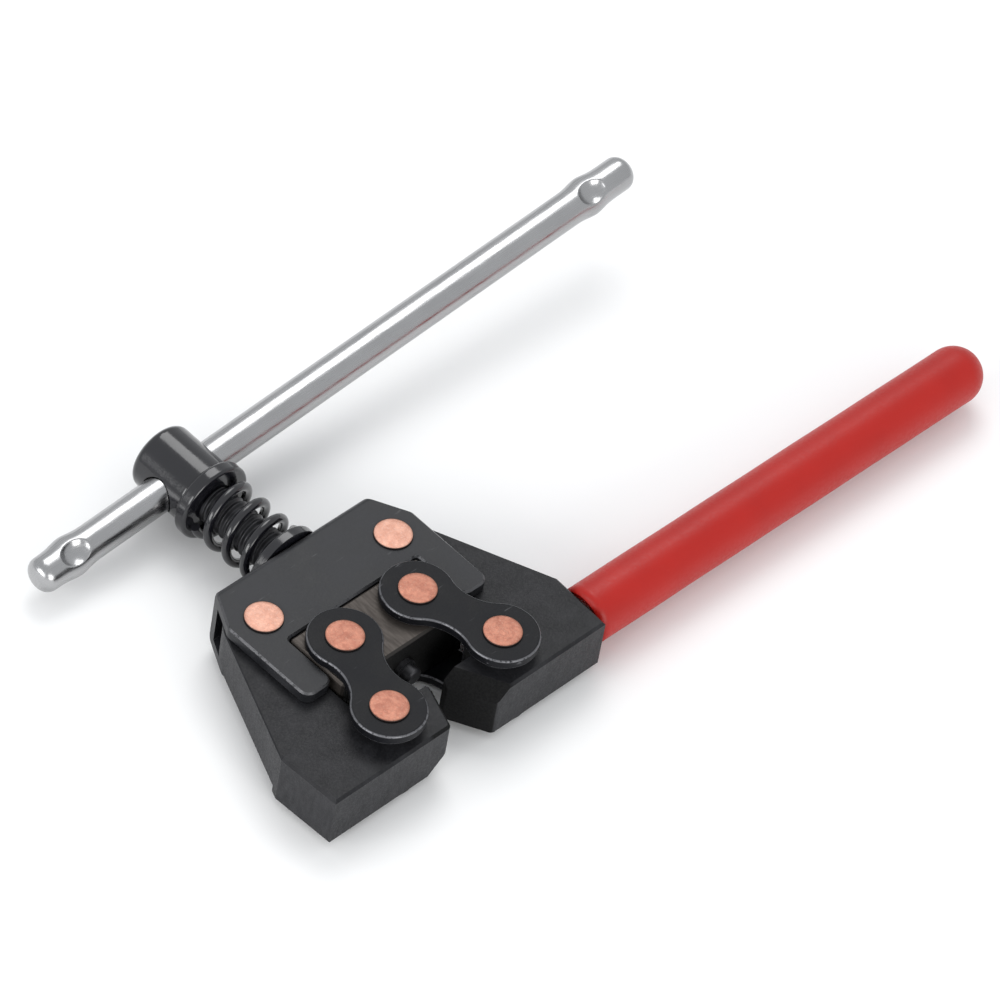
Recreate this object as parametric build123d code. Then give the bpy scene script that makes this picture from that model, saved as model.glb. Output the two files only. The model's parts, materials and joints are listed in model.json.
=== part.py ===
"""Two-jaw roller-chain breaker: a screw press that pushes a pin out of heavy roller chain.

Frame: millimetres, origin on the screw axis where the chain's roller sits between the jaw tips,
+X along the screw towards the open mouth, +Y towards the handle, +Z up on the side of the top links.
Shapes are drawn for the handle side (+Y) and mirrored for the plain side (-Y).
"""
from build123d import *
import math
import os

# ---- driving dimensions, mm ------------------------------------------------------------------
# where the three pairs of pins stand
PIVOT_X, PIVOT_Y = -42.4, 21.9          # jaw pivots, in the yoke
NUT_PIN_X, NUT_PIN_Y = -24.1, 12.3      # inner ends of the links, in the nut block
LINK_PIN_X, LINK_PIN_Y = -1.2, 19.2     # outer ends of the links, in the jaws

# rivets: a turned shank with a thin head at each end
SHANK_R = 4.0
HEAD_R = 5.0
HEAD_T = 0.7
HEAD_EDGE = 0.25
PIN_CLEARANCE = 0.05                    # running fit of whatever turns on a shank
OPEN_PIVOT_CLEARANCE = 0.35             # the links' outer holes, which take up the linkage's slack

# yoke: one strip of 3 mm plate folded into a U
YOKE_Z = 8.85                           # outer faces of both plates, above and below the screw axis
YOKE_T = 3.1
YOKE_BEND_R = 2.2                       # outside of the bend
YOKE_BEND_IN_R = 0.4                    # inside of the bend
YOKE_BACK_X = -56.3
YOKE_BACK_Y = 25.2                      # half width of the back wall
YOKE_CORNER_X, YOKE_CORNER_Y = -45.2, 31.1
YOKE_CORNER_R = 2.6
YOKE_LEG_X, YOKE_LEG_Y = -17.2, 30.9    # front end and outer side of the legs
YOKE_LEG_R = 2.8
WINDOW_X, WINDOW_Y = -33.9, 21.9        # back edge and half width of the window
WINDOW_R = 1.0
SCREW_HOLE_R = 6.5                      # in the back wall
EDGE = 0.5                              # broken edges of plate work

# nut block
NUT_BACK_X, NUT_FRONT_X = -33.6, -14.6
NUT_Y = 21.4
NUT_Z = 8.6
NUT_EDGE = 0.6
BORE_END_X = -17.8                      # the thread stops here, and the press pin's guide goes on
GUIDE_R = 3.1

# link plates
LINK_END_R = 9.6
LINK_WAIST = 6.0                        # half width at mid length
LINK_T = 2.9
LINK_GAP = 0.05                         # between a link and what it lies on
LINK_EDGE = 0.7

# jaws
JAW_TOP = 5.6
ARM_BOTTOM = -5.6
BLOCK_BOTTOM = -10.15
FLANK_BOTTOM = -7.4                     # outside the yoke's lower leg the arm is deeper
FLANK_GAP = 0.6                         # between that leg and the deeper flank
JAW_FRONT_X = 9.2
JAW_END_R = 9.6                         # round the pivot
JAW_CORNER_X, JAW_CORNER_Y = -8.9, 46.8 # rear corner of the side face
JAW_SIDE_Y = 45.9                       # side face at the front
JAW_END_BACK = 35.0                     # degrees, a point on the round end behind the pivot
# the mouth's side: Y at the front face, Y at the tip, and the size of the broad bevel along it,
# which is on top of the handle's jaw and below the plain one
HANDLE_MOUTH = (9.0, 2.8, 4.0)
PLAIN_MOUTH = (7.2, 3.0, 6.0)
TIP_RELIEF = 0.4                        # the tip's end face leans back by this much
MOUTH_CORNER_R = 1.6
TIP_FRONT_X, TIP_BACK_X = -2.0, -3.9
ARM_INNER_Y = 22.1
LUG_R = 8.6                             # metal round the link pin
LUG_BACK = 30.0                         # degrees, a point on the lug's rear side
STEP_X = -11.2                          # the block hangs below the arm in front of this
CREASE_X, ARM_TOP = -9.6, 5.2           # and behind this the arm's top is milled a little lower
FLANK_BACK = 2.5                        # the deeper flank runs out this far behind the pivot
JAW_EDGE = 0.7
RECESS_Z = -8.75                        # pocket under the block for the bottom link
RECESS_R = 9.8
RECESS_HALF = 8.5                       # half width where the link leaves the pocket
SPACER_R = 6.6

# handle
HANDLE_Z = -2.3
ROD_R = 6.35
ROD_START_Y, ROD_END_Y = 27.4, 187.0
HANDLE_ROOT_Y, HANDLE_YAW = 46.0, 0.55  # the rod leans towards the mouth by this many degrees
GRIP_R = 7.85
GRIP_END_Y = 190.5
GRIP_START_Y = 47.0
GRIP_COLLAR_Y = 1.2                     # how far the grip's open end flares back

# pressure screw, collar, spring
SCREW_R = 5.55                          # 7/16 inch
THREAD_CLEARANCE = 0.06
SCREW_FRONT_X = -26.0
SPINDLE_EDGE = 0.8
HEAD_SOCKET = 2.5                       # metal of the head behind the spindle's end
PRESS_PIN_R = 3.0
PRESS_PIN_TIP_R = 2.4
PRESS_PIN_BACK_X, PRESS_PIN_TIP_X = -38.0, -10.3
PRESS_PIN_SHOULDER = 3.0                # length of the slim tip
GRUB_R = 1.5                            # grub screw on the press pin
GRUB_BACK = 4.0                         # grub screw, from the press pin's rear end
BARREL_R = 9.3
BARREL_BACK_X, BARREL_FRONT_X = -103.9, -85.9
BARREL_DOME = 2.0
COLLAR_R = 10.9
COLLAR_FRONT_X = -82.2
COLLAR_EDGE = 0.9
SEAT_R = 10.7
SEAT_T = 2.8
WIRE_R = 1.25
COIL_R = 8.1                            # centre line of the wire
SPRING_TURNS = 3.4

# tommy bar
BAR_X = -93.8
BAR_R = 4.75
BAR_HOLE_R = 5.05
BAR_TILT = 5.3                          # degrees about the screw axis, in the stored position
BAR_SHORT, BAR_LONG = -49.5, 154.9      # ends, along the bar
BAR_TIP = 3.2
STAKE_IN = 11.3                         # staked dimples, from the short end
STAKE_FROM_LONG_END = 14.8
STAKE_ANGLE = 30.0                      # degrees from upright, towards the mouth
STAKE_R = 6.0                           # ball that makes the dimple
STAKE_DEPTH = 1.9
STAKE_SPREAD = 0.7                      # how far the pinched metal bulges sideways

# ---- derived sizes ---------------------------------------------------------------------------
PLATE_IN = YOKE_Z - YOKE_T
LINK_LOW = YOKE_Z + LINK_GAP
LINK_TOP = LINK_LOW + LINK_T
PIVOT = (PIVOT_X, PIVOT_Y)
NUT_PIN = (NUT_PIN_X, NUT_PIN_Y)
LINK_PIN = (LINK_PIN_X, LINK_PIN_Y)
SPINDLE_BACK_X = BARREL_BACK_X + HEAD_SOCKET


def mirrored(shape):
    """The plain side's copy of a handle-side shape."""
    return mirror(shape, about=Plane.XZ)


def slab(face, low, high):
    """A flat face at z = 0, thickened from low to high."""
    return extrude(Pos(0, 0, low) * face, amount=high - low)


def disc(center, radius, low, high):
    """An upright cylinder."""
    return Pos(center[0], center[1], (low + high) / 2) * Cylinder(radius, high - low)


def rod_x(radius, start, end, y=0.0, z=0.0):
    """A cylinder along X."""
    return Pos((start + end) / 2, y, z) * Rot(0, 90, 0) * Cylinder(radius, end - start)


def rod_y(radius, start, end, x=0.0, z=0.0):
    """A cylinder along Y."""
    return Pos(x, (start + end) / 2, z) * Rot(90, 0, 0) * Cylinder(radius, end - start)


def box(low, high):
    """A block between two corners."""
    size = [b - a for a, b in zip(low, high)]
    middle = [(a + b) / 2 for a, b in zip(low, high)]
    return Pos(*middle) * Box(*size)


def level_edges(shape, z):
    """The edges of a shape that lie in the plane at height z."""
    found = []
    for edge in shape.edges():
        span = edge.bounding_box()
        if abs(span.min.Z - z) < 0.01 and abs(span.max.Z - z) < 0.01:
            found.append(edge)
    return found


# ---- yoke ------------------------------------------------------------------------------------
def make_yoke():
    """U-folded plate: two plates joined by the back wall, with a window between two forward legs."""
    side = Plane.XZ * RectangleRounded(2 * YOKE_Z, 2 * YOKE_Z, YOKE_BEND_R)
    strip = Pos(YOKE_BACK_X + YOKE_Z, 0, 0) * extrude(side, amount=YOKE_LEG_Y + 1, both=True)
    strip += box((YOKE_BACK_X + YOKE_Z, -YOKE_LEG_Y - 1, -YOKE_Z), (YOKE_LEG_X + 5, YOKE_LEG_Y + 1, YOKE_Z))
    gap = box(
        (YOKE_BACK_X + YOKE_T, -YOKE_LEG_Y - 2, -PLATE_IN),
        (YOKE_LEG_X + 6, YOKE_LEG_Y + 2, PLATE_IN),
    )
    gap = fillet(gap.edges().filter_by(Axis.Y).sort_by(Axis.X)[:2], YOKE_BEND_IN_R)
    half = [
        (YOKE_BACK_X - 1, 0),
        (YOKE_BACK_X - 1, YOKE_BACK_Y - 0.6),
        (YOKE_BACK_X, YOKE_BACK_Y),
        (YOKE_CORNER_X, YOKE_CORNER_Y),
        (YOKE_LEG_X, YOKE_LEG_Y),
        (YOKE_LEG_X, WINDOW_Y),
        (WINDOW_X, WINDOW_Y),
        (WINDOW_X, 0),
    ]
    face = make_face(Polyline(half, close=True))
    prism = extrude(Pos(0, 0, -YOKE_Z - 1) * face, amount=2 * YOKE_Z + 2)
    upright = prism.edges().filter_by(Axis.Z)
    corner = [e for e in upright if abs(e.center().X - YOKE_CORNER_X) < 0.1]
    prism = fillet(corner, YOKE_CORNER_R)
    upright = prism.edges().filter_by(Axis.Z)
    leg = [e for e in upright if abs(e.center().X - YOKE_LEG_X) < 0.1]
    prism = fillet(leg, YOKE_LEG_R)
    upright = prism.edges().filter_by(Axis.Z)
    window = [e for e in upright if abs(e.center().X - WINDOW_X) < 0.1 and e.center().Y > 1]
    prism = fillet(window, WINDOW_R)
    outline = prism + mirrored(prism)
    yoke = (strip - gap) & outline
    bore = disc(PIVOT, SHANK_R, -YOKE_Z - 1, YOKE_Z + 1)
    yoke = yoke - bore - mirrored(bore)
    yoke -= rod_x(SCREW_HOLE_R, YOKE_BACK_X - 2, YOKE_BACK_X + YOKE_T + 2)
    outer = level_edges(yoke, YOKE_Z) + level_edges(yoke, -YOKE_Z)
    rim = [e for e in outer if e.center().X > YOKE_BACK_X + YOKE_BEND_R + 0.5]
    rim = [e for e in rim if math.dist((e.center().X, abs(e.center().Y)), PIVOT) > SHANK_R + 0.5]
    return chamfer(rim, EDGE)


# ---- rivets ----------------------------------------------------------------------------------
def make_rivet(center, low, high):
    """Shank from low to high with a thin head outside each end."""
    rivet = disc(center, SHANK_R, low - 0.1, high + 0.1)
    for start, end in ((high, high + HEAD_T), (low - HEAD_T, low)):
        rivet += disc(center, HEAD_R, start, end)
    rims = level_edges(rivet, high + HEAD_T) + level_edges(rivet, low - HEAD_T)
    return chamfer(rims, HEAD_EDGE)


# ---- nut block -------------------------------------------------------------------------------
def make_nut_block():
    """Steel crosshead: threaded from behind for the screw, bored through for its two rivets."""
    block = box((NUT_BACK_X, -NUT_Y, -NUT_Z), (NUT_FRONT_X, NUT_Y, NUT_Z))
    block = chamfer(block.edges(), NUT_EDGE)
    block -= rod_x(SCREW_R + THREAD_CLEARANCE, NUT_BACK_X - 1, BORE_END_X)
    block -= rod_x(GUIDE_R, BORE_END_X - 1, NUT_FRONT_X + 1)
    bore = disc(NUT_PIN, SHANK_R, -NUT_Z - 1, NUT_Z + 1)
    return block - bore - mirrored(bore)


# ---- link plates -----------------------------------------------------------------------------
def link_angle():
    """Direction from the nut pin to the link pin, degrees from +X."""
    return math.degrees(math.atan2(LINK_PIN_Y - NUT_PIN_Y, LINK_PIN_X - NUT_PIN_X))


def link_face():
    """Dog-bone outline: two round ends joined by hollow sides."""
    length = math.dist(NUT_PIN, LINK_PIN)
    half = length / 2
    # a hollow side is an arc tangent to both ends: its radius follows from the waist
    hollow = (half**2 + LINK_WAIST**2 - LINK_END_R**2) / (2 * (LINK_END_R - LINK_WAIST))
    rise = LINK_WAIST + hollow
    share = LINK_END_R / (LINK_END_R + hollow)
    touch_x = half - half * share
    touch_y = rise * share
    top = ThreePointArc((-touch_x, touch_y), (0, LINK_WAIST), (touch_x, touch_y))
    right = ThreePointArc((touch_x, touch_y), (half + LINK_END_R, 0), (touch_x, -touch_y))
    bottom = ThreePointArc((touch_x, -touch_y), (0, -LINK_WAIST), (-touch_x, -touch_y))
    left = ThreePointArc((-touch_x, -touch_y), (-half - LINK_END_R, 0), (-touch_x, touch_y))
    face = make_face([top, right, bottom, left])
    middle = ((NUT_PIN_X + LINK_PIN_X) / 2, (NUT_PIN_Y + LINK_PIN_Y) / 2)
    return Pos(middle[0], middle[1], 0) * Rot(0, 0, link_angle()) * face


def make_link(low):
    """One link plate, lying from low upwards, with its outer hole left loose."""
    plate = slab(link_face(), low, low + LINK_T)
    rims = level_edges(plate, low) + level_edges(plate, low + LINK_T)
    plate = fillet(rims, LINK_EDGE)
    plate -= disc(NUT_PIN, SHANK_R + PIN_CLEARANCE, low - 1, low + LINK_T + 1)
    return plate - disc(LINK_PIN, SHANK_R + OPEN_PIVOT_CLEARANCE, low - 1, low + LINK_T + 1)


# ---- jaws ------------------------------------------------------------------------------------
def tangent_from(point, center, radius):
    """Where the line from point touches the circle, on the outer (+Y) side."""
    dx, dy = point[0] - center[0], point[1] - center[1]
    reach = math.hypot(dx, dy)
    angle = math.atan2(dy, dx) + math.acos(radius / reach)
    return center[0] + radius * math.cos(angle), center[1] + radius * math.sin(angle)


def on_circle(center, radius, angle):
    """The point of a circle at an angle in degrees."""
    turn = math.radians(angle)
    return center[0] + radius * math.cos(turn), center[1] + radius * math.sin(turn)


def jaw_face(front_y, tip_y):
    """Outline of the jaw from above: round pivot end, arm, block and hooked tip."""
    corner = (JAW_CORNER_X, JAW_CORNER_Y)
    side_end = (JAW_FRONT_X, JAW_SIDE_Y)
    mouth_end = (JAW_FRONT_X, front_y)
    tip_front = (TIP_FRONT_X, tip_y)
    tip_back = (TIP_BACK_X, tip_y + TIP_RELIEF)
    lug_start = (TIP_BACK_X, LINK_PIN_Y - math.sqrt(LUG_R**2 - (TIP_BACK_X - LINK_PIN_X) ** 2))
    lug_end = (LINK_PIN_X - math.sqrt(LUG_R**2 - (ARM_INNER_Y - LINK_PIN_Y) ** 2), ARM_INNER_Y)
    arm_end = (WINDOW_X, ARM_INNER_Y)
    cut = (WINDOW_X, PIVOT_Y - math.sqrt(JAW_END_R**2 - (WINDOW_X - PIVOT_X) ** 2))
    touch = tangent_from(corner, PIVOT, JAW_END_R)
    return make_face([
        Line(touch, corner),
        Line(corner, side_end),
        Line(side_end, mouth_end),
        Line(mouth_end, tip_front),
        Line(tip_front, tip_back),
        Line(tip_back, lug_start),
        ThreePointArc(lug_start, on_circle(LINK_PIN, LUG_R, 180 + LUG_BACK), lug_end),
        Line(lug_end, arm_end),
        Line(arm_end, cut),
        ThreePointArc(cut, on_circle(PIVOT, JAW_END_R, 180 + JAW_END_BACK), touch),
    ])


def mouth_wedge(mouth, level, down):
    """What the broad bevel takes off: down is 1 below the top edge, -1 above the bottom edge."""
    front_y, tip_y, bevel = mouth
    run = (JAW_FRONT_X - TIP_FRONT_X, front_y - tip_y, 0)
    across = (-run[1], run[0], 0)
    profile = [(bevel + 1, down), (-1, -down * (bevel + 1)), (-1, down)]
    plane = Plane(origin=(TIP_FRONT_X, tip_y, level), x_dir=across, z_dir=run)
    return extrude(plane * make_face(Polyline(profile, close=True)), amount=30, both=True)


def make_jaw(mouth, wedge):
    """Forged jaw: a flat arm round the pivot, and a deep block with a hooked tip at the front."""
    front_y, tip_y, bevel = mouth
    face = jaw_face(front_y, tip_y)
    jaw = slab(face, ARM_BOTTOM, JAW_TOP)
    jaw += slab(face, BLOCK_BOTTOM, JAW_TOP) & box(
        (STEP_X, 0, BLOCK_BOTTOM - 1), (JAW_FRONT_X + 1, JAW_CORNER_Y + 5, JAW_TOP + 1)
    )
    jaw += slab(face, FLANK_BOTTOM, JAW_TOP) & box(
        (PIVOT_X - FLANK_BACK, YOKE_LEG_Y + FLANK_GAP, FLANK_BOTTOM - 1),
        (STEP_X + 1, JAW_CORNER_Y + 5, JAW_TOP + 1),
    )
    upright = [e for e in jaw.edges().filter_by(Axis.Z) if abs(e.center().X - JAW_FRONT_X) < 0.1]
    jaw = fillet([e for e in upright if e.center().Y < front_y + 1], MOUTH_CORNER_R)
    rims = level_edges(jaw, JAW_TOP) + level_edges(jaw, BLOCK_BOTTOM)
    jaw = chamfer([e for e in rims if e.center().Y > front_y + bevel], JAW_EDGE)
    jaw -= wedge
    jaw -= box((PIVOT_X - 2 * JAW_END_R, 0, ARM_TOP), (CREASE_X, JAW_CORNER_Y + 5, JAW_TOP + 1))
    jaw -= disc(PIVOT, SHANK_R + PIN_CLEARANCE, BLOCK_BOTTOM - 1, JAW_TOP + 1)
    jaw -= disc(LINK_PIN, SHANK_R, BLOCK_BOTTOM - 1, JAW_TOP + 1)
    # pocket under the block: the bottom link's outer end swings in it
    sweep = disc(LINK_PIN, RECESS_R, BLOCK_BOTTOM - 1, RECESS_Z)
    way_out = Pos(LINK_PIN_X, LINK_PIN_Y, 0) * Rot(0, 0, link_angle()) * box(
        (-2 * RECESS_R, -RECESS_HALF, BLOCK_BOTTOM - 1), (0, RECESS_HALF, RECESS_Z)
    )
    return jaw - sweep - way_out


def make_spacer():
    """Turned ring between the jaw and the outer end of the top link."""
    low, high = JAW_TOP, YOKE_Z
    return disc(LINK_PIN, SPACER_R, low, high) - disc(LINK_PIN, SHANK_R, low - 1, high + 1)


# ---- handle ----------------------------------------------------------------------------------
def leaned(shape):
    """Turns what is drawn along Y to the handle's own direction."""
    return Pos(0, HANDLE_ROOT_Y, 0) * Rot(0, 0, -HANDLE_YAW) * Pos(0, -HANDLE_ROOT_Y, 0) * shape


def make_rod():
    """Handle rod, pressed into the jaw's side."""
    rod = rod_y(ROD_R, ROD_START_Y, ROD_END_Y, 0, HANDLE_Z)
    ends = rod.edges().filter_by(GeomType.CIRCLE)
    return leaned(chamfer(ends, 1.0))


def make_grip():
    """Dipped vinyl sleeve with a domed end."""
    dome = GRIP_R * 0.93
    skin = rod_y(GRIP_R, GRIP_START_Y, GRIP_END_Y, 0, HANDLE_Z)
    ends = skin.edges().filter_by(GeomType.CIRCLE).sort_by(Axis.Y)
    skin = fillet(ends[-1:], dome)
    start = skin.edges().filter_by(GeomType.CIRCLE).sort_by(Axis.Y)[:1]
    skin = fillet(start, GRIP_COLLAR_Y)
    return leaned(skin - rod_y(ROD_R, GRIP_START_Y - 1, ROD_END_Y, 0, HANDLE_Z))


# ---- screw -----------------------------------------------------------------------------------
def bar_hole():
    """The cross hole that the bar slides in."""
    return Pos(BAR_X, 0, 0) * Rot(BAR_TILT, 0, 0) * Rot(90, 0, 0) * Cylinder(BAR_HOLE_R, 4 * BARREL_R)


def make_head():
    """Barrel head, pressed on the spindle and cross-drilled with it for the bar."""
    barrel = rod_x(BARREL_R, BARREL_BACK_X, BARREL_FRONT_X)
    ends = barrel.edges().filter_by(GeomType.CIRCLE).sort_by(Axis.X)
    barrel = fillet(ends[:1], BARREL_DOME)
    front = barrel.edges().filter_by(GeomType.CIRCLE).sort_by(Axis.X)[-1:]
    barrel = fillet(front, 0.8)
    return barrel - rod_x(SCREW_R, SPINDLE_BACK_X, BARREL_FRONT_X + 1) - bar_hole()


def make_spindle():
    """Threaded spindle, bored at the nose for the press pin."""
    spindle = rod_x(SCREW_R, SPINDLE_BACK_X, SCREW_FRONT_X)
    ends = spindle.edges().filter_by(GeomType.CIRCLE).sort_by(Axis.X)
    spindle = chamfer(ends[:1] + ends[-1:], SPINDLE_EDGE)
    return spindle - rod_x(PRESS_PIN_R, PRESS_PIN_BACK_X, SCREW_FRONT_X + 1) - bar_hole()


def make_press_pin():
    """Hardened pin: a shank in the screw's nose and a slimmer tip."""
    shoulder = PRESS_PIN_TIP_X - PRESS_PIN_SHOULDER
    pin = rod_x(PRESS_PIN_R, PRESS_PIN_BACK_X, shoulder)
    pin += rod_x(PRESS_PIN_TIP_R, shoulder - 0.2, PRESS_PIN_TIP_X)
    tip = pin.edges().filter_by(GeomType.CIRCLE).sort_by(Axis.X)[-1:]
    return chamfer(tip, 0.4)


def make_collar():
    """Thick thrust collar, free on the spindle."""
    collar = rod_x(COLLAR_R, BARREL_FRONT_X, COLLAR_FRONT_X)
    rims = collar.edges().filter_by(GeomType.CIRCLE)
    collar = fillet(rims, COLLAR_EDGE)
    return collar - rod_x(SCREW_R + THREAD_CLEARANCE, BARREL_FRONT_X - 1, COLLAR_FRONT_X + 1)


def make_seat():
    """Washer that the spring bears on, against the back wall."""
    low = YOKE_BACK_X - SEAT_T
    seat = rod_x(SEAT_R, low, YOKE_BACK_X)
    rim = seat.edges().filter_by(GeomType.CIRCLE).sort_by(Axis.X)[:1]
    seat = fillet(rim, 0.8)
    return seat - rod_x(SCREW_HOLE_R, low - 1, YOKE_BACK_X + 1)


def make_spring():
    """Compression spring of round wire between the collar and the seat."""
    start = COLLAR_FRONT_X + WIRE_R + 0.02
    end = YOKE_BACK_X - SEAT_T - WIRE_R - 0.02
    height = end - start
    path = Helix(pitch=height / SPRING_TURNS, height=height, radius=COIL_R)
    profile = Plane(origin=path @ 0, z_dir=path % 0) * Circle(WIRE_R)
    coil = sweep(profile, path=path, is_frenet=True)
    return Pos(start, 0, 0) * Rot(0, 90, 0) * coil


def make_bar():
    """Sliding bar with rounded tips, staked near each end so that it can't leave the head."""
    bar = Cylinder(BAR_R, BAR_LONG - BAR_SHORT)
    bar = Pos(0, 0, (BAR_LONG + BAR_SHORT) / 2) * bar
    bar = fillet(bar.edges().filter_by(GeomType.CIRCLE), BAR_TIP)
    for place in (BAR_SHORT + STAKE_IN, BAR_LONG - STAKE_FROM_LONG_END):
        bulge = Pos(0, 0, place) * scale(Sphere(1), (BAR_R + STAKE_SPREAD, 3.6, 5.0))
        bar += bulge
        for side in (1, -1):
            bar -= Pos(0, side * (BAR_R + STAKE_R - STAKE_DEPTH), place) * Sphere(STAKE_R)
    return Pos(BAR_X, 0, 0) * Rot(BAR_TILT - 90, 0, 0) * Rot(0, 0, STAKE_ANGLE) * bar


# ---- assembly --------------------------------------------------------------------------------
def make_parts():
    """Every sub-part by its node name."""
    parts = {"yoke": make_yoke(), "nut_block": make_nut_block()}
    sides = {
        "pivot_pin": make_rivet(PIVOT, -YOKE_Z, YOKE_Z),
        "nut_pin": make_rivet(NUT_PIN, -LINK_TOP, LINK_TOP),
        "link_pin": make_rivet(LINK_PIN, -LINK_TOP, LINK_TOP),
        "link_top": make_link(LINK_LOW),
        "link_bottom": make_link(-LINK_TOP),
        "link_spacer": make_spacer(),
    }
    for name, shape in sides.items():
        parts["handle_" + name] = shape
        parts["plain_" + name] = mirrored(shape)
    rod_bore = leaned(rod_y(ROD_R, ROD_START_Y - 0.2, JAW_CORNER_Y + 2, 0, HANDLE_Z))
    parts["handle_jaw"] = make_jaw(HANDLE_MOUTH, mouth_wedge(HANDLE_MOUTH, JAW_TOP, 1)) - rod_bore
    parts["plain_jaw"] = mirrored(make_jaw(PLAIN_MOUTH, mouth_wedge(PLAIN_MOUTH, BLOCK_BOTTOM, -1)))
    parts["handle_rod"] = make_rod()
    parts["handle_grip"] = make_grip()
    parts["screw_spindle"] = make_spindle()
    parts["screw_head"] = make_head()
    parts["press_pin"] = make_press_pin()
    parts["thrust_collar"] = make_collar()
    parts["return_spring"] = make_spring()
    parts["spring_seat"] = make_seat()
    parts["tommy_bar"] = make_bar()
    # a grub screw holds the press pin in the spindle's nose
    grub = (PRESS_PIN_BACK_X + GRUB_BACK, 0)
    parts["press_pin_screw"] = disc(grub, GRUB_R, PRESS_PIN_R, SCREW_R - 0.6)
    parts["screw_spindle"] -= disc(grub, GRUB_R, 0, SCREW_R + 1)
    return parts


def main():
    """Write one STEP file for each node."""
    os.makedirs("parts", exist_ok=True)
    for name, shape in make_parts().items():
        export_step(shape, os.path.join("parts", name + ".step"))


main()
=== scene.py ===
import json
import math

import bmesh
import bpy
from mathutils import Matrix, Vector


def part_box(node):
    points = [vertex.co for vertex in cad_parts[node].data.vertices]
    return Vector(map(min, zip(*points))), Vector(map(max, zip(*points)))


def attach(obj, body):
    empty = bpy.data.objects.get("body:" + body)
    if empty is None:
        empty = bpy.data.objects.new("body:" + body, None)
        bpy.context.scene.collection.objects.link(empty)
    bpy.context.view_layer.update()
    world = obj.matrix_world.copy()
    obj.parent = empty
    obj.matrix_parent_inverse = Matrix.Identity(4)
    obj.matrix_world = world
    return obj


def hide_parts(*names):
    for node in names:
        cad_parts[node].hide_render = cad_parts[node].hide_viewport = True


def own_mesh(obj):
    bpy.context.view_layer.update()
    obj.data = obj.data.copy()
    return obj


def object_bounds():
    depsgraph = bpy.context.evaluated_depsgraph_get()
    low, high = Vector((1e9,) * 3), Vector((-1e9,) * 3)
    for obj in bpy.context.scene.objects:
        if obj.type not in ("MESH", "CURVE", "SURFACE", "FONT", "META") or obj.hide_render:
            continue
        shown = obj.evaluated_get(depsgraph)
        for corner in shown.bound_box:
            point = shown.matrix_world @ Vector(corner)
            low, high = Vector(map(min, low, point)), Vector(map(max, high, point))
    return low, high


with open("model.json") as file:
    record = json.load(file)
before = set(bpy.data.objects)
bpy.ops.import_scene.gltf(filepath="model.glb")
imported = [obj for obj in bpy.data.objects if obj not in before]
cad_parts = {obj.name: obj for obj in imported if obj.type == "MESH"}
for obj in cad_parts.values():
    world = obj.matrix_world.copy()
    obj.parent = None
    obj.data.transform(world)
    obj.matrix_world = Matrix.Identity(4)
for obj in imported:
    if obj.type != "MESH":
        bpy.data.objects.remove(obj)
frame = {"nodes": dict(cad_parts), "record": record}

cad_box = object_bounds()
scene = bpy.context.scene

# ---- camera ----------------------------------------------------------------------------------
# A long lens, high on the side of the plain jaw and the mouth, rolled a little clockwise.
LENS = 247.865
VIEW_AZIMUTH = math.radians(127.80038)
VIEW_DROP = math.radians(47.41778)
VIEW_ROLL = math.radians(10.648534)
CAMERA_PLACE = (0.67485, -0.863092, 1.267788)
camera_data = bpy.data.cameras.new("camera")
camera_data.lens = LENS
camera = bpy.data.objects.new("camera", camera_data)
scene.collection.objects.link(camera)
view = Vector((
    math.cos(VIEW_AZIMUTH) * math.cos(VIEW_DROP),
    math.sin(VIEW_AZIMUTH) * math.cos(VIEW_DROP),
    -math.sin(VIEW_DROP),
))
turn = view.to_track_quat("-Z", "Y").to_matrix() @ Matrix.Rotation(VIEW_ROLL, 3, "Z")
camera.matrix_world = Matrix.Translation(CAMERA_PLACE) @ turn.to_4x4()
scene.camera = camera
scene.view_settings.view_transform = "Standard"

# ---- studio ----------------------------------------------------------------------------------
# A pale floor under the tool, an even sky, and three soft boxes: above and behind, low on the
# plain jaw's side, and beside the camera.


class Wire:
    """A node's value that Python's operators work on: each operation adds a Math node."""

    def __init__(self, maker, socket):
        self.maker = maker
        self.socket = socket

    def math(self, operation, *values):
        return self.maker.node("ShaderNodeMath", {"operation": operation}, dict(enumerate(values)))

    def __add__(self, other):
        return self.math("ADD", self, other)

    def __sub__(self, other):
        return self.math("SUBTRACT", self, other)

    def __rsub__(self, other):
        return self.math("SUBTRACT", other, self)

    def __mul__(self, other):
        return self.math("MULTIPLY", self, other)

    def __truediv__(self, other):
        return self.math("DIVIDE", self, other)

    def __rtruediv__(self, other):
        return self.math("DIVIDE", other, self)

    __radd__ = __add__
    __rmul__ = __mul__


class NodeWork:
    """What a material and a geometry recipe have in common: one way to add any node."""

    def node(self, kind, settings=None, sockets=None, output=0):
        """Any node: its settings first, then values or wires for its sockets."""
        made = self.tree.nodes.new(kind)
        for name, value in (settings or {}).items():
            setattr(made, name, value)
        for key, value in (sockets or {}).items():
            self.feed(made.inputs[key], value)
        return Wire(self, made.outputs[output])

    def feed(self, socket, value):
        """Gives a socket a wire or a plain value."""
        if isinstance(value, Wire):
            self.tree.links.new(value.socket, socket)
        else:
            socket.default_value = value

    def split(self, vector):
        """The x, y and z of a vector."""
        parts = self.node("ShaderNodeSeparateXYZ", {}, {0: vector}).socket.node.outputs
        return [Wire(self, part) for part in parts]


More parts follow.
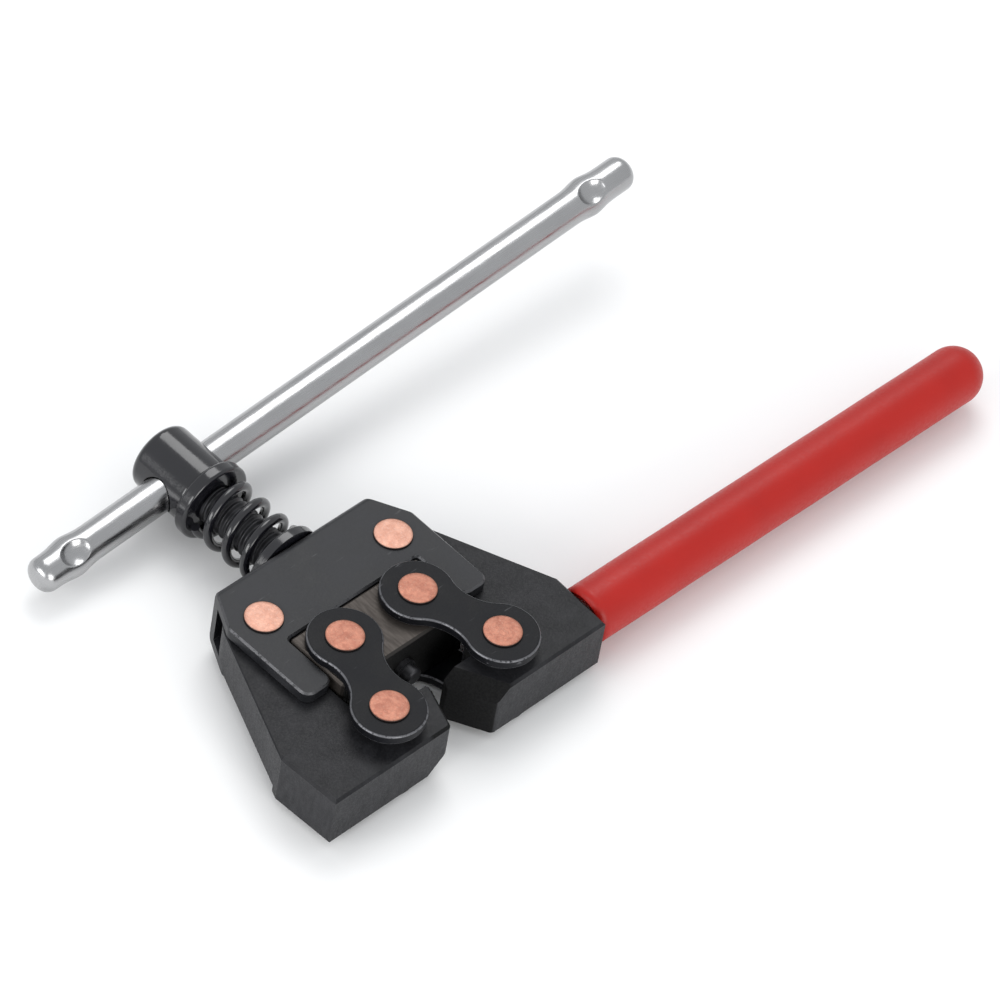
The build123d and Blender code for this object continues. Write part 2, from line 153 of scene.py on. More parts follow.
class Finish(NodeWork):
    """A material being made: what is the same all over is set at once, the rest by coat()."""

    def __init__(self, name, **same_all_over):
        self.material = bpy.data.materials.new(name)
        self.material.use_nodes = True
        self.tree = self.material.node_tree
        self.shader = self.tree.nodes["Principled BSDF"]
        for socket, value in same_all_over.items():
            self.shader.inputs[socket.replace("_", " ")].default_value = value
        self.place = self.node("ShaderNodeTexCoord", output="Object")

    def noise(self, size, detail=3.0, roughness=0.55, stretch=(1, 1, 1)):
        """Cloudy values from 0 to 1 whose patches are about size metres across."""
        sockets = {0: self.place, 1: stretch}
        place = self.node("ShaderNodeVectorMath", {"operation": "MULTIPLY"}, sockets)
        sockets = {"Vector": place, "Scale": 1 / size, "Detail": detail, "Roughness": roughness}
        return self.node("ShaderNodeTexNoise", {}, sockets)

    def ramp(self, value, low, high, bottom=0.0, top=1.0):
        """Takes value smoothly from bottom at low to top at high."""
        sockets = {
            "Value": value, "From Min": low, "From Max": high, "To Min": bottom, "To Max": top,
        }
        return self.node("ShaderNodeMapRange", {"interpolation_type": "SMOOTHSTEP"}, sockets)

    def tint(self, mask, colour, other):
        """Colour where the mask is 0, other where it is 1."""
        sockets = {0: mask, 6: colour, 7: other}
        return self.node("ShaderNodeMix", {"data_type": "RGBA"}, sockets, output=2)

    def facing(self):
        """The x, y and z of the surface's own direction."""
        return self.split(self.node("ShaderNodeNewGeometry", output="Normal"))

    def rounded_rims(self):
        """1 on the rounded and chamfered rims of flat work, 0 on its faces and sides."""
        upness = self.facing()[2]
        upness = upness.math("ABSOLUTE", upness)
        return self.ramp(upness, 0.15, 0.45) * self.ramp(upness, 0.98, 0.82)

    def coat(self, colour, roughness, bump=None, depth=0.0001, strength=1.0):
        """Joins what varies to the shader."""
        self.feed(self.shader.inputs["Base Color"], colour)
        self.feed(self.shader.inputs["Roughness"], roughness)
        if bump is not None:
            sockets = {"Height": bump, "Distance": depth, "Strength": strength}
            self.feed(self.shader.inputs["Normal"], self.node("ShaderNodeBump", {}, sockets))
        return self.material


FLOOR_HALF = 4.0
FLOOR_GAP = 0.00002
floor_mesh = bpy.data.meshes.new("studio_floor")
floor_z = cad_box[0][2] - FLOOR_GAP
corner_signs = ((-1, -1), (1, -1), (1, 1), (-1, 1))
floor_corners = [(x * FLOOR_HALF, y * FLOOR_HALF, floor_z) for x, y in corner_signs]
floor_mesh.from_pydata(floor_corners, [], [(0, 1, 2, 3)])
studio_floor = bpy.data.objects.new("studio_floor", floor_mesh)
scene.collection.objects.link(studio_floor)
paper = Finish("pale_paper", Roughness=0.9, Specular_IOR_Level=0.2)
paper_cloud = paper.noise(0.4)
paper_colour = paper.tint(paper_cloud, (0.9, 0.9, 0.9, 1), (0.93, 0.93, 0.93, 1))
paper_rough = paper.ramp(paper_cloud, 0, 1, 0.85, 0.95)
floor_mesh.materials.append(paper.coat(paper_colour, paper_rough))

sky = bpy.data.worlds.new("studio_sky")
sky.use_nodes = True
sky_shader = sky.node_tree.nodes["Background"]
sky_shader.inputs["Color"].default_value = (0.96, 0.98, 1.0, 1)
sky_shader.inputs["Strength"].default_value = 0.78
scene.world = sky

SOFT_BOXES = (
    # name, where, aimed at, width, height, brightness, colour
    ("top_box", (-0.62, 0.6, 1.3), (-0.03, 0.02, 0), 0.8, 0.85, 3.5, (1, 1, 1)),
    ("side_box", (-0.15, -1.5, 0.6), (-0.02, 0, 0), 1.3, 0.6, 5.0, (1, 1, 1)),
    ("front_box", (1.35, -0.45, 0.5), (0, 0, 0), 0.9, 0.7, 4.0, (1, 0.99, 0.97)),
)
for name, where, aim, width, height, brightness, colour in SOFT_BOXES:
    lamp = bpy.data.lights.new(name, "AREA")
    lamp.shape = "RECTANGLE"
    lamp.size = width
    lamp.size_y = height
    lamp.energy = brightness * math.pi * width * height
    lamp.color = colour
    soft_box = bpy.data.objects.new(name, lamp)
    scene.collection.objects.link(soft_box)
    facing = (Vector(aim) - Vector(where)).to_track_quat("-Z", "Y").to_matrix().to_4x4()
    soft_box.matrix_world = Matrix.Translation(where) @ facing

# ---- yoke ------------------------------------------------------------------------------------
# One strip of 3 mm steel plate, sheared, folded into a U and blacked hot. The oiled oxide is
# near black, with lighter rubbed patches, fine grain and bare metal along the rims.


def oxide_plate(name, sheen, deep, rubbed, rim):
    """Black oxide on rolled plate: cloudy, finely grained, and rubbed bare along its rims."""
    plate = Finish(name, Specular_IOR_Level=sheen)
    patch = plate.noise(0.011, 5, 0.6)
    grain = plate.noise(0.00035, 2, 0.7)
    pits = plate.noise(0.0009, 3, 0.65)
    scuffs = plate.noise(0.0012, 3, 0.6, (1, 0.12, 1))
    worn = plate.rounded_rims() * plate.ramp(pits, 0.3, 0.5)
    colour = plate.tint(plate.ramp(patch + grain * 0.25, 0.45, 0.85), deep, rubbed)
    colour = plate.tint(plate.ramp(scuffs, 0.66, 0.78) * 0.5, colour, rim)
    colour = plate.tint(worn, colour, rim)
    plate.feed(plate.shader.inputs["Metallic"], worn * 0.8)
    rough = plate.ramp(patch * 0.6 + grain * 0.4, 0.3, 0.7, 0.36, 0.55) - worn * 0.1
    return plate.coat(colour, rough, pits * 0.7 + grain * 0.3, 0.00006, 0.6)


def repaint(node, material):
    """Gives a CAD node its finish."""
    shown = frame["nodes"][node]
    shown.data.materials.clear()
    shown.data.materials.append(material)


YOKE_BLACK = (0.010, 0.0105, 0.0125, 1)
YOKE_RUBBED = (0.026, 0.0265, 0.03, 1)
YOKE_RIM = (0.10, 0.10, 0.105, 1)
black_plate_material = oxide_plate("black_oxide_plate", 0.28, YOKE_BLACK, YOKE_RUBBED, YOKE_RIM)
repaint("yoke", black_plate_material)

# ---- nut block -------------------------------------------------------------------------------
# Square steel crosshead that the screw pulls on, sawn and milled, then browned by heat. The
# side towards the mouth is painted near black as shade, with less metal sheen.
browned = Finish("nut_steel", Specular_IOR_Level=0.3)
mill_marks = browned.noise(0.0006, 2, 0.5, (0.15, 1, 1))
brown_patch = browned.noise(0.007, 4, 0.6)
brown_colour = browned.tint(brown_patch, (0.045, 0.038, 0.034, 1), (0.085, 0.074, 0.066, 1))
# Painted shade: faces turned towards the mouth go near black and lose their metal sheen.
painted_nut_front_shade = browned.ramp(browned.facing()[0], 0.4, 0.9)
brown_colour = browned.tint(painted_nut_front_shade, brown_colour, (0.006, 0.006, 0.006, 1))
browned.feed(browned.shader.inputs["Metallic"], (1.0 - painted_nut_front_shade) * 0.6)
nut_rough = browned.ramp(mill_marks, 0.3, 0.7, 0.42, 0.58)
nut_material = browned.coat(brown_colour, nut_rough, mill_marks, 0.00005, 0.4)
repaint("nut_block", nut_material)

# ---- rivets ----------------------------------------------------------------------------------
# Six turned steel rivets, copper washed. Their heads are peened flat: the faces are mottled by
# the hammer, and their sides are coloured near black. The pair in the yoke is a little paler.
RIVET_SHANK_R = 0.004
RIVET_HEAD_R = 0.005
RIVET_HEAD_T = 0.0007
RIVET_CROWN = 0.0001


class Recipe(NodeWork):
    """A geometry tree being written, with named inputs."""

    def __init__(self, name):
        self.tree = bpy.data.node_groups.new(name, "GeometryNodeTree")
        self.tree.interface.new_socket("Geometry", in_out="INPUT", socket_type="NodeSocketGeometry")
        self.tree.interface.new_socket("Geometry", in_out="OUTPUT", socket_type="NodeSocketGeometry")
        self.start = self.tree.nodes.new("NodeGroupInput")

    def given(self, name, kind="Float"):
        """A named input of the tree, or its geometry."""
        if name != "Geometry":
            self.tree.interface.new_socket(name, in_out="INPUT", socket_type="NodeSocket" + kind)
        return Wire(self, self.start.outputs[name])

    def serve(self, geometry, finish):
        """Ends the tree: instances become real and take the finish."""
        real = self.node("GeometryNodeRealizeInstances", {}, {0: geometry})
        done = self.node("GeometryNodeSetMaterial", {}, {"Geometry": real, "Material": finish})
        end = self.tree.nodes.new("NodeGroupOutput")
        self.tree.links.new(done.socket, end.inputs[0])

    def make(self, name, mesh, **inputs):
        """Runs the tree on a mesh and keeps the result as a plain piece."""
        piece = bpy.data.objects.new(name, mesh)
        scene.collection.objects.link(piece)
        worker = piece.modifiers.new("recipe", "NODES")
        worker.node_group = self.tree
        for item in self.tree.interface.items_tree:
            if item.in_out == "INPUT" and item.name in inputs:
                worker[item.identifier] = inputs[item.name]
        evaluated = piece.evaluated_get(bpy.context.evaluated_depsgraph_get())
        plain = bpy.data.meshes.new_from_object(evaluated)
        piece.modifiers.remove(worker)
        piece.data = plain
        return piece


def turned_mesh(name, profile, segments, frame_of=lambda along, u, v: (u, v, along)):
    """A closed lathe shape from (along, radius) pairs; the first and last lie on the axis."""
    work = bmesh.new()
    rings = []
    for along, radius in profile:
        if radius == 0:
            rings.append([work.verts.new(frame_of(along, 0, 0))])
            continue
        ring = []
        for k in range(segments):
            angle = 2 * math.pi * k / segments
            place = frame_of(along, radius * math.cos(angle), radius * math.sin(angle))
            ring.append(work.verts.new(place))
        rings.append(ring)
    for near, far in zip(rings, rings[1:]):
        for k in range(segments):
            after = (k + 1) % segments
            near_side = [near[k % len(near)], near[after % len(near)]]
            far_side = [far[after % len(far)], far[k % len(far)]]
            work.faces.new(list(dict.fromkeys(near_side + far_side)))
    bmesh.ops.recalc_face_normals(work, faces=work.faces)
    for face in work.faces:
        face.smooth = True
    mesh = bpy.data.meshes.new(name)
    work.to_mesh(mesh)
    work.free()
    return mesh


def rivet_mesh(reach):
    """One rivet whose faces are reach above and below its middle."""
    under = reach - RIVET_HEAD_T
    top = [(reach, 0.0)]
    for share in (0.2, 0.4, 0.6, 0.75, 0.88):
        top.append((reach - RIVET_CROWN * share**2, RIVET_HEAD_R * share))
    top.append((reach - RIVET_CROWN * 1.3, RIVET_HEAD_R * 0.955))
    top.append((reach - RIVET_CROWN * 2.6, RIVET_HEAD_R))
    top.append((under, RIVET_HEAD_R * 1.01))
    top.append((under, RIVET_SHANK_R))
    bottom = [(-along, radius) for along, radius in reversed(top)]
    return turned_mesh("rivet", top + bottom, 48)


peening = Recipe("peened_rivets")
first_pin = peening.given("First Pin", "Vector")
pin_step = peening.given("Pin Step", "Vector")
pin_count = peening.given("Pins", "Int")
hammer_depth = peening.given("Hammer Depth")
hammer_size = peening.given("Hammer Size")
rivet_finish = peening.given("Finish", "Material")
stations = peening.node("GeometryNodeMeshLine", {}, {
    "Count": pin_count, "Start Location": first_pin, "Offset": pin_step,
})
placed = peening.node("GeometryNodeInstanceOnPoints", {}, {
    "Points": stations, "Instance": peening.given("Geometry"),
})
loose_rivets = peening.node("GeometryNodeRealizeInstances", {}, {0: placed})
blows = peening.node("ShaderNodeTexNoise", {}, {"Scale": 1.0 / hammer_size, "Detail": 2.0})
rivet_normal = peening.node("GeometryNodeInputNormal")
flatness = peening.split(rivet_normal)[2]
on_face = flatness.math("GREATER_THAN", flatness.math("ABSOLUTE", flatness), 0.9)
dent = peening.node("ShaderNodeVectorMath", {"operation": "SCALE"}, {
    0: rivet_normal, "Scale": (blows - 1.0) * hammer_depth * on_face,
})
hammered = peening.node("GeometryNodeSetPosition", {}, {"Geometry": loose_rivets, "Offset": dent})
peening.serve(hammered, rivet_finish)


def copper_wash(name, dull, lively, spot):
    """Copper on the hammered faces, near black on the sides."""
    copper = Finish(name, Metallic=0.75)
    upness = copper.facing()[2]
    upright = copper.ramp(upness.math("ABSOLUTE", upness), 0.75, 0.95)
    patch = copper.noise(0.0022, 4, 0.65)
    speck = copper.noise(0.0006, 3, 0.7)
    face = copper.tint(copper.ramp(patch, 0.3, 0.7), dull, lively)
    face = copper.tint(copper.ramp(speck, 0.5, 0.75), face, spot)
    colour = copper.tint(upright, (0.03, 0.02, 0.018, 1), face)
    relief = patch * 0.6 + speck * 0.4
    return copper.coat(colour, copper.ramp(speck, 0.3, 0.7, 0.36, 0.5), relief, 0.0001, 0.6)


link_copper = copper_wash(
    "copper_face", (0.26, 0.098, 0.066, 1), (0.38, 0.165, 0.112, 1), (0.46, 0.235, 0.175, 1)
)
yoke_copper = copper_wash(
    "copper_face_pale", (0.40, 0.195, 0.14, 1), (0.51, 0.285, 0.215, 1), (0.58, 0.365, 0.295, 1)
)
RIVETS = (
    # piece, body, CAD nodes, finish
    ("yoke_rivets", "yoke", ("handle_pivot_pin", "plain_pivot_pin"), yoke_copper),
    ("nut_rivets", "nut_block", ("handle_nut_pin", "plain_nut_pin"), link_copper),
    ("handle_jaw_rivet", "handle_jaw", ("handle_link_pin",), link_copper),
    ("plain_jaw_rivet", "plain_jaw", ("plain_link_pin",), link_copper),
)
for name, body, nodes, finish in RIVETS:
    low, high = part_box(nodes[0])
    middle_x, middle_y = (low[0] + high[0]) / 2, (low[1] + high[1]) / 2
    rivets = peening.make(name, rivet_mesh(high[2]), **{
        "First Pin": (middle_x, middle_y, 0.0), "Pin Step": (0.0, -2 * middle_y, 0.0),
        "Pins": len(nodes), "Hammer Depth": 0.00012, "Hammer Size": 0.0028, "Finish": finish,
    })
    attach(rivets, body)
    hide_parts(*nodes)

# ---- links -----------------------------------------------------------------------------------
# Four dog-bone plates, stamped from strip, tumbled until their edges are round, and blacked a
# little deeper than the yoke. Handling has rubbed their rims bare.
LINK_BLACK = (0.0028, 0.003, 0.0042, 1)
LINK_RUBBED = (0.008, 0.0084, 0.0105, 1)
LINK_RIM = (0.15, 0.15, 0.16, 1)
link_plate_material = oxide_plate("black_oxide_link", 0.15, LINK_BLACK, LINK_RUBBED, LINK_RIM)
for node in ("handle_link_top", "handle_link_bottom", "plain_link_top", "plain_link_bottom"):
    repaint(node, link_plate_material)
for node in ("handle_link_spacer", "plain_link_spacer"):
    repaint(node, black_plate_material)

# ---- jaws ------------------------------------------------------------------------------------
# Two drop forgings, milled on their faces and blacked. The scale of the forge shows as dull
# speckle, the sides are faintly streaked from top to bottom, and the mouth's walls carry painted
# shade: near black and rougher.
forged = Finish("black_oxide_forging", Metallic=0.0, Specular_IOR_Level=0.25)
scale_patch = forged.noise(0.006, 5, 0.6)
scale_speck = forged.noise(0.0005, 3, 0.7)
side_streaks = forged.noise(0.0012, 4, 0.6, (1, 1, 0.3))
scaled = forged.ramp(scale_patch * 0.6 + scale_speck * 0.4, 0.35, 0.75)
forged_colour = forged.tint(scaled, (0.0068, 0.007, 0.0084, 1), (0.022, 0.022, 0.025, 1))
MOUTH_HALF_WIDTH = 0.0125
MOUTH_BACK_X = -0.0075
FADE = 0.002
facing_x, facing_y, facing_z = forged.facing()
place_x, place_y, place_z = forged.split(forged.place)
off_axis = place_y.math("ABSOLUTE", place_y)
near_axis = forged.ramp(off_axis, MOUTH_HALF_WIDTH + FADE * 1.25, MOUTH_HALF_WIDTH)
in_mouth = near_axis * forged.ramp(place_x, MOUTH_BACK_X, MOUTH_BACK_X + FADE)
wall = forged.ramp(facing_z, 0.9, 0.8) * forged.ramp(facing_x, 0.95, 0.85)
# Painted shade: upright walls inside the mouth go near black and rougher, and take no streaks.
painted_mouth_shade = in_mouth * wall
forged_colour = forged.tint(painted_mouth_shade, forged_colour, (0.0012, 0.0012, 0.0014, 1))
upright = forged.ramp(facing_z.math("ABSOLUTE", facing_z), 0.3, 0.1) * (1.0 - painted_mouth_shade)
streaked = upright * forged.ramp(side_streaks, 0.2, 0.8)
forged_colour = forged.tint(streaked, forged_colour, (0.027, 0.027, 0.03, 1))
forged_rough = forged.ramp(scale_speck, 0.3, 0.7, 0.4, 0.6) + painted_mouth_shade * 0.3
forged_relief = scale_speck * 0.85 + side_streaks * 0.15
forged_material = forged.coat(forged_colour, forged_rough, forged_relief, 0.0001, 0.5)
for node in ("handle_jaw", "plain_jaw"):
    repaint(node, forged_material)

# ---- handle ----------------------------------------------------------------------------------
# A half-inch rod pressed into the side of one jaw, dipped in red vinyl that has drawn into a
# smooth dome at the end.
turned = Finish("rod_steel", Metallic=1.0)
turned_marks = turned.noise(0.0004, 2, 0.5, (1, 0.1, 1))
rod_colour = turned.tint(turned_marks, (0.30, 0.30, 0.31, 1), (0.45, 0.45, 0.46, 1))
rod_rough = turned.ramp(turned_marks, 0.3, 0.7, 0.28, 0.45)
rod_material = turned.coat(rod_colour, rod_rough, turned_marks, 0.00005, 0.5)
repaint("handle_rod", rod_material)

vinyl = Finish("red_vinyl", Specular_IOR_Level=0.35)
vinyl_patch = vinyl.noise(0.012, 3, 0.5)
vinyl_skin = vinyl.noise(0.0009, 3, 0.6)
vinyl_colour = vinyl.tint(vinyl_patch, (0.335, 0.007, 0.004, 1), (0.43, 0.011, 0.006, 1))
vinyl_rough = vinyl.ramp(vinyl_skin, 0.3, 0.7, 0.36, 0.5)
vinyl_material = vinyl.coat(vinyl_colour, vinyl_rough, vinyl_skin, 0.00012, 0.35)
grip_mount = next(mount for mount in frame["record"]["mounts"] if mount["name"] == "grip")
grip_base = Vector(grip_mount["pos_m"])
grip_way = Vector(grip_mount["axis"])
grip_side = grip_way.cross(Vector((0, 0, 1)))
GRIP_R = grip_mount["dims"]["r_mm"] / 1000
grip_low, grip_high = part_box("handle_grip")
grip_start = (grip_low[1] - grip_base.y) / grip_way.y + GRIP_R * abs(grip_way.x)
grip_end = (grip_high[1] - grip_base.y) / grip_way.y
GRIP_BORE = 0.00635
GRIP_LIP = 0.0012
GRIP_BORE_DEPTH = 0.004
SKIN_R = GRIP_R - 0.00003               # leaves room for the skin's slow swells
LIP_STEPS, SKIN_STEPS, DOME_STEPS = 6, 59, 16
grip_profile = [
    (grip_start + GRIP_BORE_DEPTH, 0.0),
    (grip_start + GRIP_BORE_DEPTH, GRIP_BORE),
    (grip_start + GRIP_LIP * 0.4, GRIP_BORE),
]
for step in range(LIP_STEPS + 1):
    drawn_in = GRIP_LIP * (1 - math.sin(math.pi / 2 * step / LIP_STEPS))
    grip_profile.append((grip_start + drawn_in, GRIP_R - drawn_in))
skin_start = grip_start + GRIP_LIP
dome_start = grip_end - GRIP_R
for step in range(1, SKIN_STEPS + 1):
    along = skin_start + (dome_start - skin_start) * step / SKIN_STEPS
    swell = 0.00002 * math.sin(along * 210) + 0.000015 * math.sin(along * 83 + 1)
    grip_profile.append((along, SKIN_R + swell))
for step in range(1, DOME_STEPS):
    lean = math.pi / 2 * step / DOME_STEPS
    grip_profile.append((dome_start + GRIP_R * math.sin(lean), SKIN_R * math.cos(lean)))
grip_profile.append((grip_end, 0.0))


def grip_point(along, u, v):
    """From the grip's own directions to the model's."""
    return grip_base + grip_way * along + grip_side * u + Vector((0, 0, v))


grip_mesh = turned_mesh("vinyl_grip", grip_profile, 72, grip_point)
grip = bpy.data.objects.new("vinyl_grip", grip_mesh)
scene.collection.objects.link(grip)
grip.data.materials.append(vinyl_material)
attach(grip, "handle_jaw")
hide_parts("handle_grip")

# ---- spindle ---------------------------------------------------------------------------------
# A 7/16 inch steel rod, cut with fourteen threads to the inch and blacked. Its nose holds the
# hardened press pin and the grub screw that keeps the pin in.
threaded = Finish("screw_steel", Metallic=0.7)
thread_cloud = threaded.noise(0.002, 3, 0.6)
thread_colour = threaded.tint(thread_cloud, (0.02, 0.02, 0.022, 1), (0.07, 0.07, 0.075, 1))
thread_rough = threaded.ramp(thread_cloud, 0.3, 0.7, 0.3, 0.5)
thread_material = threaded.coat(thread_colour, thread_rough)
THREAD_R = 0.00555
THREAD_DEPTH = 0.00095
THREAD_PITCH = 0.0254 / 14
ROWS_PER_TURN = 10
THREAD_IN_HEAD = 0.0025
spindle_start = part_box("screw_head")[1][0] - THREAD_IN_HEAD
spindle_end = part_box("screw_spindle")[1][0]
spindle_rows = int((spindle_end - spindle_start) / THREAD_PITCH * ROWS_PER_TURN)
cutting = Recipe("cut_thread")
spindle_length = cutting.given("Length")
thread_radius = cutting.given("Radius")
thread_depth = cutting.given("Depth")
thread_pitch = cutting.given("Pitch")
blank = cutting.node("GeometryNodeMeshGrid", {}, {
    "Size X": spindle_length, "Size Y": 1.0, "Vertices X": spindle_rows, "Vertices Y": 33,
})
along_blank, round_blank, above_blank = cutting.split(cutting.node("GeometryNodeInputPosition"))
thread_phase = along_blank / thread_pitch - round_blank
flank = thread_phase.math("PINGPONG", thread_phase, 0.5) * 2.0
crest = flank.math("SMOOTH_MIN", flank.math("SMOOTH_MAX", flank, 0.12, 0.1), 0.9, 0.1)
end_gap = spindle_length * 0.5 - along_blank.math("ABSOLUTE", along_blank)
end_taper = end_gap.math("MINIMUM", (end_gap + thread_depth * 0.4) / thread_depth, 1.0)
whole = end_gap.math("GREATER_THAN", end_gap, 0.00001)
radius_here = (thread_radius - thread_depth * (1.0 - crest * end_taper)) * whole
angle_here = round_blank * (2 * math.pi)
rolled = cutting.node("ShaderNodeCombineXYZ", {}, {
    0: along_blank,
    1: radius_here * angle_here.math("COSINE", angle_here),
    2: radius_here * angle_here.math("SINE", angle_here),
})
wrapped = cutting.node("GeometryNodeSetPosition", {}, {"Geometry": blank, "Position": rolled})
sealed = cutting.node("GeometryNodeMergeByDistance", {}, {"Geometry": wrapped, "Distance": 0.000005})
smoothed = cutting.node("GeometryNodeSetShadeSmooth", {}, {"Geometry": sealed})
cutting.serve(smoothed, cutting.given("Finish", "Material"))
spindle = cutting.make("threaded_spindle", bpy.data.meshes.new("blank"), **{
    "Length": spindle_end - spindle_start, "Radius": THREAD_R, "Depth": THREAD_DEPTH,
    "Pitch": THREAD_PITCH, "Finish": thread_material,
})


def settle(piece, shift):
    """Moves a piece's mesh, and turns its faces outwards."""
    work = bmesh.new()
    work.from_mesh(piece.data)
    bmesh.ops.translate(work, verts=work.verts, vec=shift)
    bmesh.ops.recalc_face_normals(work, faces=work.faces)
    work.to_mesh(piece.data)
    work.free()


settle(spindle, ((spindle_start + spindle_end) / 2, 0, 0))
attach(spindle, "screw")
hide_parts("screw_spindle")
repaint("press_pin", thread_material)
repaint("press_pin_screw", thread_material)

# ---- head, collar, seat ----------------------------------------------------------------------
# The cross-drilled barrel that the bar slides in, the thick ring under it and the washer at the
# back wall: turned steel, sprayed with gloss black enamel.
enamel = Finish("gloss_black", Coat_Weight=0.35, Coat_Roughness=0.05)
enamel_cloud = enamel.noise(0.01, 3, 0.5)
enamel_peel = enamel.noise(0.0012, 2, 0.5)
enamel_colour = enamel.tint(enamel_cloud, (0.004, 0.004, 0.006, 1), (0.009, 0.009, 0.012, 1))
enamel_rough = enamel.ramp(enamel_cloud, 0.3, 0.7, 0.12, 0.2)
enamel_material = enamel.coat(enamel_colour, enamel_rough, enamel_peel, 0.00006, 0.4)
for node in ("screw_head", "thrust_collar", "spring_seat"):
    repaint(node, enamel_material)

# ---- return spring ---------------------------------------------------------------------------
# A compression spring of 2.5 mm wire, coiled cold with its ends closed, and enamelled black.
# It bears on the collar and on its seat, so the real spring shortens as the screw goes in; this mesh
# keeps one length.
WIRE_R = 0.00125
COIL_R = 0.0081
SPRING_TURNS = 3.6
CLOSED_TURNS = 0.4
SPRING_PHASE = math.radians(194)
SPRING_STEPS = 260
spring_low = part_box("thrust_collar")[1][0]
spring_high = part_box("spring_seat")[0][0]
coiling = Recipe("coiled_spring")
coil_length = coiling.given("Length")
coil_turns = coiling.given("Turns")
closed_turns = coiling.given("Closed Turns")
coil_radius = coiling.given("Coil Radius")
wire_radius = coiling.given("Wire Radius")
coil_phase = coiling.given("Phase")
straight = coiling.node("GeometryNodeCurvePrimitiveLine", {}, {"End": (1.0, 0.0, 0.0)})
divided = coiling.node("GeometryNodeResampleCurve", {}, {
    "Curve": straight, "Count": SPRING_STEPS,
})
share = coiling.node("GeometryNodeSplineParameter")
turn_here = share * coil_turns
closed_rise = wire_radius * 2.02
open_turns = coil_turns - closed_turns * 2.0
open_rise = (coil_length - closed_turns * closed_rise * 2.0) / open_turns
lead_in = turn_here.math("MINIMUM", turn_here, closed_turns)
past_lead_in = turn_here.math("MAXIMUM", turn_here - closed_turns, 0.0)
open_part = turn_here.math("MINIMUM", past_lead_in, open_turns)
lead_out = turn_here.math("MAXIMUM", turn_here - closed_turns - open_turns, 0.0)
rise = (lead_in + lead_out) * closed_rise + open_part * open_rise
coil_angle = turn_here * (2 * math.pi) + coil_phase
coil_place = coiling.node("ShaderNodeCombineXYZ", {}, {
    0: rise,
    1: coil_angle.math("COSINE", coil_angle) * coil_radius,
    2: coil_angle.math("SINE", coil_angle) * coil_radius,
})
coiled = coiling.node("GeometryNodeSetPosition", {}, {"Geometry": divided, "Position": coil_place})
wire_round = coiling.node("GeometryNodeCurvePrimitiveCircle", {}, {
    "Resolution": 20, "Radius": wire_radius,
})
wire = coiling.node("GeometryNodeCurveToMesh", {}, {
    "Curve": coiled, "Profile Curve": wire_round, "Fill Caps": True,
})
smooth_wire = coiling.node("GeometryNodeSetShadeSmooth", {}, {"Geometry": wire})
coiling.serve(smooth_wire, coiling.given("Finish", "Material"))
spring_length = spring_high - spring_low
spring = coiling.make("coil_spring", bpy.data.meshes.new("wire"), **{
    "Length": spring_length - 2 * WIRE_R, "Turns": SPRING_TURNS,
    "Closed Turns": CLOSED_TURNS, "Coil Radius": COIL_R, "Wire Radius": WIRE_R,
    "Phase": SPRING_PHASE, "Finish": enamel_material,
})
settle(spring, (spring_low + WIRE_R, 0, 0))
joints = {joint["name"]: joint for joint in frame["record"]["behaviour"]["joints"]}
closed_share = 1 - joints["screw_advance"]["range_m"][1] / spring_length
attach(spring, "yoke")
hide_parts("return_spring")
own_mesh(spring)

# ---- tommy bar -------------------------------------------------------------------------------
# A three-eighths steel bar, plated bright and rounded at its tips. A ball punch has staked it near
# both ends, and the metal pushed out sideways keeps it in the head.
bright = Finish("bright_steel", Metallic=1.0)
bright_cloud = bright.noise(0.01, 3, 0.5)
bright_draw = bright.noise(0.0005, 2, 0.5, (1, 0.04, 1))
bright_colour = bright.tint(bright_cloud, (0.37, 0.37, 0.375, 1), (0.45, 0.45, 0.455, 1))
bright_rough = bright.ramp(bright_draw, 0.3, 0.7, 0.2, 0.3)
bright_material = bright.coat(bright_colour, bright_rough, bright_draw, 0.00004, 0.4)
BAR_R = 0.00475
BAR_X = -0.0938
BAR_TILT = math.radians(5.3)
BAR_ENDS = (-0.0495, 0.1549)
BAR_TIP_R = 0.0032
STAKES = (-0.0382, 0.1401)
STAKE_LEAN = math.radians(30)
STAKE_BALL = 0.0060
STAKE_DEPTH = 0.0019
STAKE_BULGE = 0.0007
BULGE_REACH = 0.0034
TIP_FACE_R = (BAR_R - BAR_TIP_R) * 0.97
TIP_STEPS = 8
RING_GAP = 0.00025                      # between the fine rings round each stake
FINE_RINGS = 36                         # on each side of a stake's middle
PLAIN_RING_START, PLAIN_RING_GAP, PLAIN_RINGS = -0.025, 0.008, 20


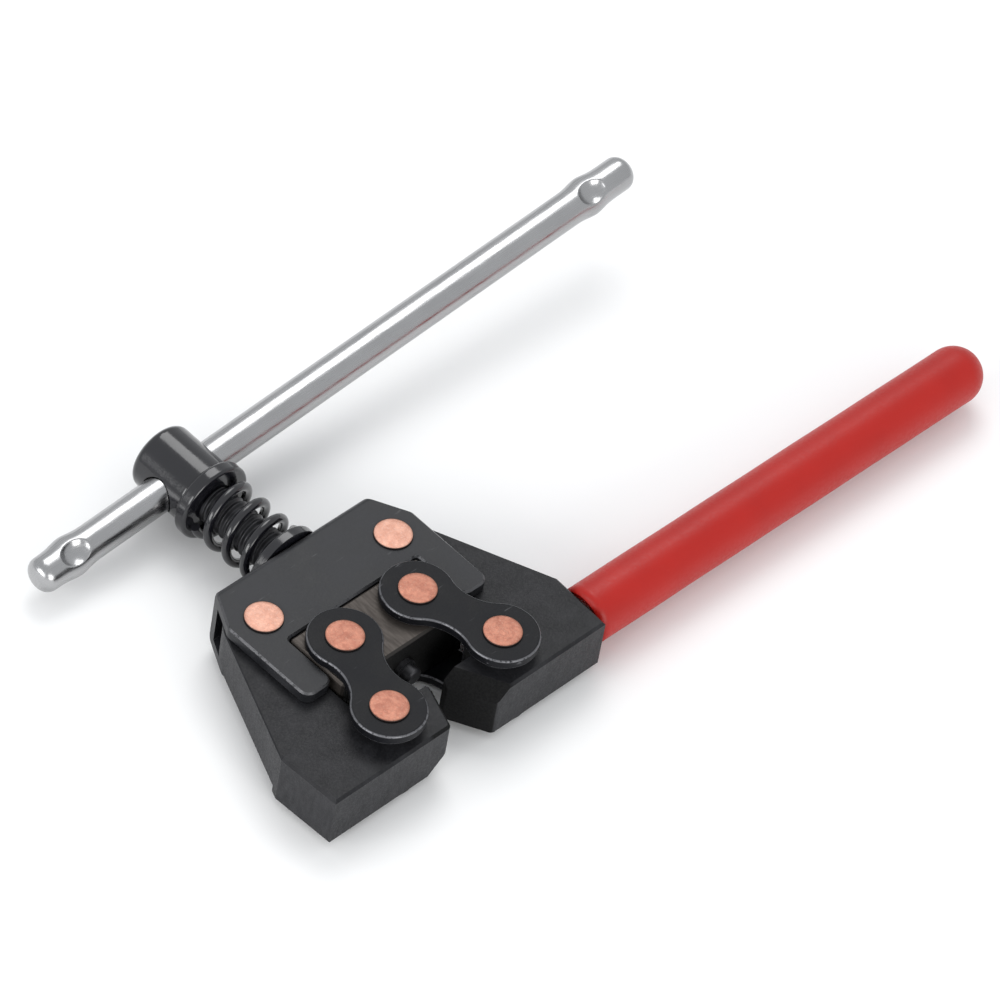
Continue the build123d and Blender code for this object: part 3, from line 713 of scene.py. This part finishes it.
def staked(along, u, v):
    """A point of the bar, with the two punched hollows and the metal they push out sideways."""
    radius = math.hypot(u, v)
    if radius == 0:
        return along, u, v
    facing = abs(v) / radius
    for centre in STAKES:
        near = math.exp(-((along - centre) / BULGE_REACH) ** 2)
        stretch = 1 + STAKE_BULGE / BAR_R * near * (1 - facing**2)
        u *= stretch
        ball_v = BAR_R + STAKE_BALL - STAKE_DEPTH
        reach = STAKE_BALL**2 - (along - centre) ** 2 - u**2
        if reach > 0:
            limit = ball_v - math.sqrt(reach)
            v = math.copysign(min(abs(v), max(limit, 0)), v)
    return along, u, v


def bar_point(along, u, v):
    """From the bar's own lengthways and crossways directions to the model's."""
    along, u, v = staked(along, u, v)
    out_x = u * math.cos(STAKE_LEAN) + v * math.sin(STAKE_LEAN)
    out_z = v * math.cos(STAKE_LEAN) - u * math.sin(STAKE_LEAN)
    y = along * math.cos(BAR_TILT) - out_z * math.sin(BAR_TILT)
    z = along * math.sin(BAR_TILT) + out_z * math.cos(BAR_TILT)
    return BAR_X + out_x, y, z


near_end, far_end = BAR_ENDS
near_tip = [(near_end, 0.0), (near_end, TIP_FACE_R)]
for step in range(1, TIP_STEPS + 1):
    lean = math.pi / 2 * step / TIP_STEPS
    along = near_end + BAR_TIP_R * (1 - math.cos(lean))
    near_tip.append((along, BAR_R - BAR_TIP_R * (1 - math.sin(lean))))
far_tip = [(far_end + near_end - along, radius) for along, radius in reversed(near_tip)]
rings_at = {round(PLAIN_RING_START + PLAIN_RING_GAP * k, 6) for k in range(PLAIN_RINGS)}
for centre in STAKES:
    rings_at.update(round(centre + RING_GAP * k, 6) for k in range(-FINE_RINGS, FINE_RINGS + 1))
body_start, body_end = near_end + BAR_TIP_R, far_end - BAR_TIP_R
bar_body = [(along, BAR_R) for along in sorted(rings_at) if body_start < along < body_end]
bar_mesh = turned_mesh("staked_bar", near_tip + bar_body + far_tip, 120, bar_point)
bar = bpy.data.objects.new("staked_bar", bar_mesh)
scene.collection.objects.link(bar)
bar.data.materials.append(bright_material)
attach(bar, "bar")
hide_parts("tommy_bar")
